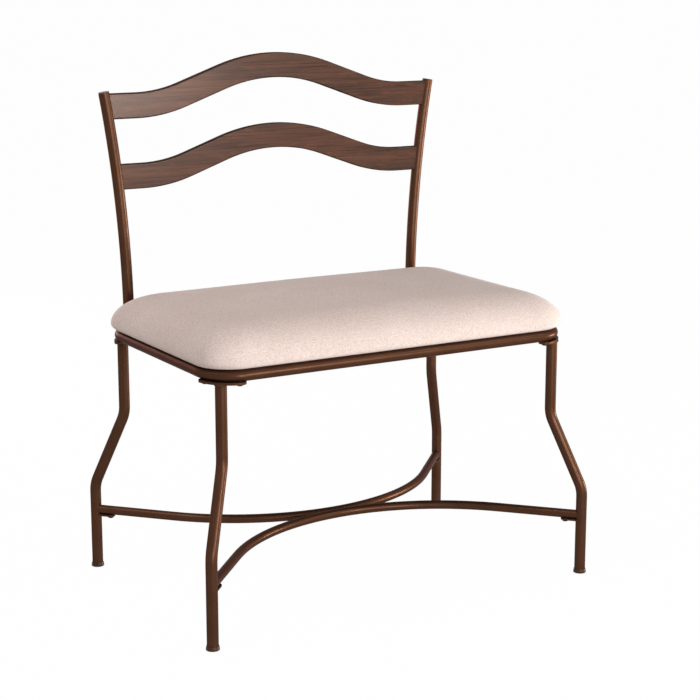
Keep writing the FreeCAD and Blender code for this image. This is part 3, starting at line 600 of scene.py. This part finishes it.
def bead_mesh(paths, radius):
    """Rippled beads along paths of (points, closed). Open ones thin out at their ends."""
    vertices = []
    faces = []
    turns = [2 * pi * n / BEAD_SIDES for n in range(BEAD_SIDES)]
    for points, closed in paths:
        points = np.array(points, float)
        count = len(points)
        if closed:
            ahead = np.roll(points, -1, axis=0) - np.roll(points, 1, axis=0)
        else:
            ahead = np.gradient(points, axis=0)
        ahead /= np.linalg.norm(ahead, axis=1, keepdims=True)
        side = np.cross(ahead, [0, 0, 1.0])
        upright = np.linalg.norm(side, axis=1, keepdims=True) < LEAST_RUN
        side = np.where(upright, [1.0, 0, 0], side)
        side /= np.linalg.norm(side, axis=1, keepdims=True)
        up = np.cross(side, ahead)
        steps = np.linalg.norm(np.diff(points, axis=0), axis=1)
        travel = np.concatenate([[0], np.cumsum(steps)])
        girth = radius * (1 + RIPPLE * np.sin(2 * pi * travel / RIPPLE_PITCH))
        if not closed:
            from_end = np.minimum(travel, travel[-1] - travel)
            fade = np.clip(from_end / (FADE_LENGTH * radius), FADE_LEAST, 1)
            girth = girth * np.sin(fade * pi / 2)
        first = len(vertices)
        for k in range(count):
            for angle in turns:
                spoke = cos(angle) * side[k] + sin(angle) * up[k]
                vertices.append(points[k] + girth[k] * spoke)
        for k in range(count if closed else count - 1):
            near = first + k * BEAD_SIDES
            far = first + (k + 1) % count * BEAD_SIDES
            for n in range(BEAD_SIDES):
                after = (n + 1) % BEAD_SIDES
                faces.append((near + n, near + after, far + after, far + n))
        if not closed:
            last = first + (count - 1) * BEAD_SIDES
            faces.append(tuple(first + n for n in reversed(range(BEAD_SIDES))))
            faces.append(tuple(last + n for n in range(BEAD_SIDES)))
    return vertices, faces


def add_beads(name, paths, radius):
    """A piece of weld beads on the frame."""
    piece = new_piece(name, *bead_mesh(paths, radius), "frame_metal")
    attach(piece, "root")


def arc(centre, radius, start, end, count, closed=False):
    """Points round an upright axis, and whether they close."""
    angles = np.linspace(start, end, count, endpoint=not closed)
    x, y, z = centre
    return [(x + radius * cos(angle), y + radius * sin(angle), z) for angle in angles], closed


PLATE_BEAD = 0.0015
PLATE_BEAD_DROP = 0.0004
PLATE_BEAD_GAP = 0.0006
TAB_BEAD = 0.0013
TAB_BEAD_GAP = 0.0004
TAB_BEAD_TURN = 0.75
plate_beads = []
tab_beads = []
for corner, (sign_x, sign_y) in CORNERS.items():
    leg_low, leg_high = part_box(f"leg_{corner}")
    leg_top_x = (leg_low.x if sign_x > 0 else leg_high.x) + sign_x * TUBE_RADIUS
    leg_top_y = (leg_low.y if sign_y > 0 else leg_high.y) + sign_y * TUBE_RADIUS
    plate_low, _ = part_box(f"leg_plate_{corner}")
    leg_top = (leg_top_x, leg_top_y, plate_low.z - PLATE_BEAD_DROP)
    plate_beads.append(arc(leg_top, TUBE_RADIUS + PLATE_BEAD_GAP, 0, 2 * pi, 72, closed=True))
    foot = middle_of(f"foot_{corner}")
    tab_low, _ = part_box(f"stretcher_tab_{corner}")
    tab = middle_of(f"stretcher_tab_{corner}")
    heading = atan2(tab.y - foot.y, tab.x - foot.x)
    start, end = heading - TAB_BEAD_TURN, heading + TAB_BEAD_TURN
    under = (foot.x, foot.y, tab_low.z)
    tab_beads.append(arc(under, TUBE_RADIUS + TAB_BEAD_GAP, start, end, 36))
add_beads("weld_leg_plates", plate_beads, PLATE_BEAD)
add_beads("weld_stretcher_tabs", tab_beads, TAB_BEAD)

CROSS_BEAD = 0.0021
CROSS_BEAD_REACH = 0.017
CROSS_BEAD_LEVEL = 0.62
cross_beads = []
for side in (-1, 1):
    z = middle_of("stretcher_front").z + side * STRETCHER_RADIUS * CROSS_BEAD_LEVEL
    run = np.linspace(-CROSS_BEAD_REACH, CROSS_BEAD_REACH, 45)
    cross_beads.append(([(x, 0.0, z) for x in run], False))
add_beads("weld_stretchers", cross_beads, CROSS_BEAD)

POST_BEAD = 0.0017
POST_BEAD_LOOP = 0.0052
post_beads = []
for side, sign in SIDES.items():
    plug = middle_of(f"post_plug_{side}")
    centre = Vector((sign * (RING_X - RING_CORNER), RING_Y - RING_CORNER, RING_Z))
    outward = (Vector((plug.x, plug.y, RING_Z)) - centre).normalized()
    contact = centre + outward * (RING_CORNER + TUBE_RADIUS)
    across = Vector((-outward.y, outward.x, 0))
    around = []
    for angle in np.linspace(0, 2 * pi, 60, endpoint=False):
        rise = Vector((0, 0, sin(angle) * POST_BEAD_LOOP))
        around.append(contact + (across * cos(angle) * POST_BEAD_LOOP + rise))
    post_beads.append((around, True))
add_beads("weld_posts", post_beads, POST_BEAD)

SEAT_TAB_BEAD = 0.0012
seat_tab_beads = []
for corner in CORNERS:
    low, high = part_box(f"seat_tab_{corner}")
    edge_y = high.y if high.y > 0 else low.y
    run = np.linspace(low.x + SEAT_TAB_BEAD, high.x - SEAT_TAB_BEAD, 40)
    for z in (low.z, high.z):
        seat_tab_beads.append(([(x, edge_y, z) for x in run], False))
add_beads("weld_seat_tabs", seat_tab_beads, SEAT_TAB_BEAD)

# Staples through the lining
STAPLE_INSET = 0.007
STAPLE_LENGTH = 0.0105
STAPLE_WIDTH = 0.0011
STAPLE_WIRE = 0.0006
STAPLE_RISE = 0.0005
STAPLE_BEND = STAPLE_LENGTH * 0.09
STAPLE_SKEW = 0.1
SKEW_STEP = 2.4


def staple(centre, along):
    """The corners and faces of one staple's crown, with its ends turned up."""
    along = Vector(along).normalized()
    across = Vector((-along.y, along.x, 0))
    half = STAPLE_LENGTH / 2
    profile = [
        (-half, STAPLE_RISE),
        (-half + STAPLE_BEND, 0),
        (half - STAPLE_BEND, 0),
        (half, STAPLE_RISE),
    ]
    corners = []
    for place, rise in profile:
        for lift in (0, STAPLE_WIRE):
            for edge in (-STAPLE_WIDTH / 2, STAPLE_WIDTH / 2):
                up = Vector((0, 0, rise + lift))
                corners.append(Vector(centre) + along * place + across * edge + up)
    quads = [(0, 1, 3, 2), (12, 14, 15, 13)]
    for near in (0, 4, 8):
        far = near + 4
        quads += [
            (near, far, far + 1, near + 1),
            (near + 2, near + 3, far + 3, far + 2),
            (near, near + 2, far + 2, far),
            (near + 1, far + 1, far + 3, near + 3),
        ]
    return corners, quads


lining_low, lining_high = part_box("dust_cover")
row_x = lining_high.x - STAPLE_INSET
row_y = lining_high.y - STAPLE_INSET
long_run = np.linspace(-0.25, 0.25, 13)
short_run = np.linspace(-0.13, 0.13, 7)
seats = [((x, sign * row_y), (1, 0)) for sign in (-1, 1) for x in long_run]
seats += [((sign * row_x, y), (0, 1)) for sign in (-1, 1) for y in short_run]
staple_vertices = []
staple_faces = []
for number, ((x, y), (along_x, along_y)) in enumerate(seats):
    skew = STAPLE_SKEW * sin(number * SKEW_STEP)
    turned = (along_x + skew * along_y, along_y + skew * along_x, 0)
    corners, quads = staple((x, y, lining_low.z - STAPLE_WIRE), turned)
    first = len(staple_vertices)
    staple_vertices += corners
    staple_faces += [tuple(first + n for n in quad) for quad in quads]
staples = new_piece("lining_staples", staple_vertices, staple_faces, "fastener_steel", smooth=False)
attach(staples, "root")

# Stage
FLOOR_REACH = 150.0
FLOOR_GREY = 0.75
FLOOR_WHITE_SHARE = 0.985
AMBIENT = 0.2
WHITE = (1, 1, 1)
COOL = (0.97, 1, 1)

# Name, place, target, width, height, power and colour of each lamp
LAMPS = [
    ("key", (3.0, -0.85, 0.24), (0, 0, 0.4), 1.0, 0.42, 72, COOL),
    ("front", (0.98, -2.95, 0.84), (0, 0, 0.5), 0.36, 0.52, 40, (0.96, 1, 1)),
    ("fill", (-0.2, -3.05, 0.45), (0, 0, 0.45), 0.4, 0.55, 31, COOL),
    ("left", (-1.45, -0.25, 2.7), (0, 0, 0.45), 1.3, 1.3, 34, WHITE),
    ("back", (-0.8, 3.0, 0.9), (0, 0, 0.5), 1.4, 1.2, 38, WHITE),
    ("high", (1.7, -1.8, 2.3), (0, 0, 0.45), 0.25, 0.25, 8, WHITE),
]


def backdrop_factor(tree):
    """One for rays that show the backdrop: straight from the camera, mirrored or through glass."""
    path = add_node(tree, "ShaderNodeLightPath").outputs
    seen = calculate(tree, "MAXIMUM", path["Is Camera Ray"], path["Is Glossy Ray"])
    return calculate(tree, "MAXIMUM", seen, path["Is Transmission Ray"])


def make_floor():
    """A pale floor that shows nearly white and keeps a faint shadow."""
    reach = FLOOR_REACH
    corners = [(-reach, -reach, 0), (reach, -reach, 0), (reach, reach, 0), (-reach, reach, 0)]
    mesh = bpy.data.meshes.new("floor")
    mesh.from_pydata(corners, [], [(0, 1, 2, 3)])
    floor = bpy.data.objects.new("floor", mesh)
    bpy.context.scene.collection.objects.link(floor)
    material, tree, shader = new_material("floor")
    set_inputs(tree, shader, {
        "Base Color": (FLOOR_GREY, FLOOR_GREY, FLOOR_GREY, 1),
        "Roughness": 1.0,
        "Specular IOR Level": 0.0,
    })
    glow = add_node(tree, "ShaderNodeEmission", {"Color": (*WHITE, 1), "Strength": 1.0})
    share = calculate(tree, "MULTIPLY", backdrop_factor(tree), FLOOR_WHITE_SHARE)
    inputs = {0: share, 1: shader.outputs[0], 2: glow.outputs[0]}
    mixed = add_node(tree, "ShaderNodeMixShader", inputs)
    tree.links.new(mixed.outputs[0], tree.nodes["Material Output"].inputs["Surface"])
    mesh.materials.append(material)


def make_world():
    """White behind the bench, and a softer level of light on it."""
    world = bpy.data.worlds.new("studio")
    bpy.context.scene.world = world
    world.use_nodes = True
    tree = world.node_tree
    strength = spread(tree, backdrop_factor(tree), AMBIENT, 1.0)
    set_inputs(tree, tree.nodes["Background"], {"Color": (*WHITE, 1), "Strength": strength})


def add_light(name, place, target, width, height, power, colour):
    """A soft rectangular lamp aimed at a point."""
    light = bpy.data.lights.new(name, "AREA")
    light.color = colour
    light.shape = "RECTANGLE"
    light.size = width
    light.size_y = height
    light.energy = power
    lamp = bpy.data.objects.new(name, light)
    lamp.location = place
    aim = Vector(target) - Vector(place)
    lamp.rotation_euler = aim.to_track_quat("-Z", "Y").to_euler()
    bpy.context.scene.collection.objects.link(lamp)


def make_camera():
    """The photograph's viewpoint."""
    data = bpy.data.cameras.new("camera")
    data.sensor_width = 36
    data.lens = 92.672
    data.clip_end = 400
    camera = bpy.data.objects.new("camera", data)
    camera.location = (-1.52287, -2.63560, 1.06767)
    camera.rotation_euler = (radians(77.58), 0, radians(-30.44))
    bpy.context.scene.collection.objects.link(camera)
    bpy.context.scene.camera = camera


make_floor()
make_world()
for lamp in LAMPS:
    add_light(*lamp)
make_camera()
bpy.context.scene.view_settings.view_transform = "Standard"
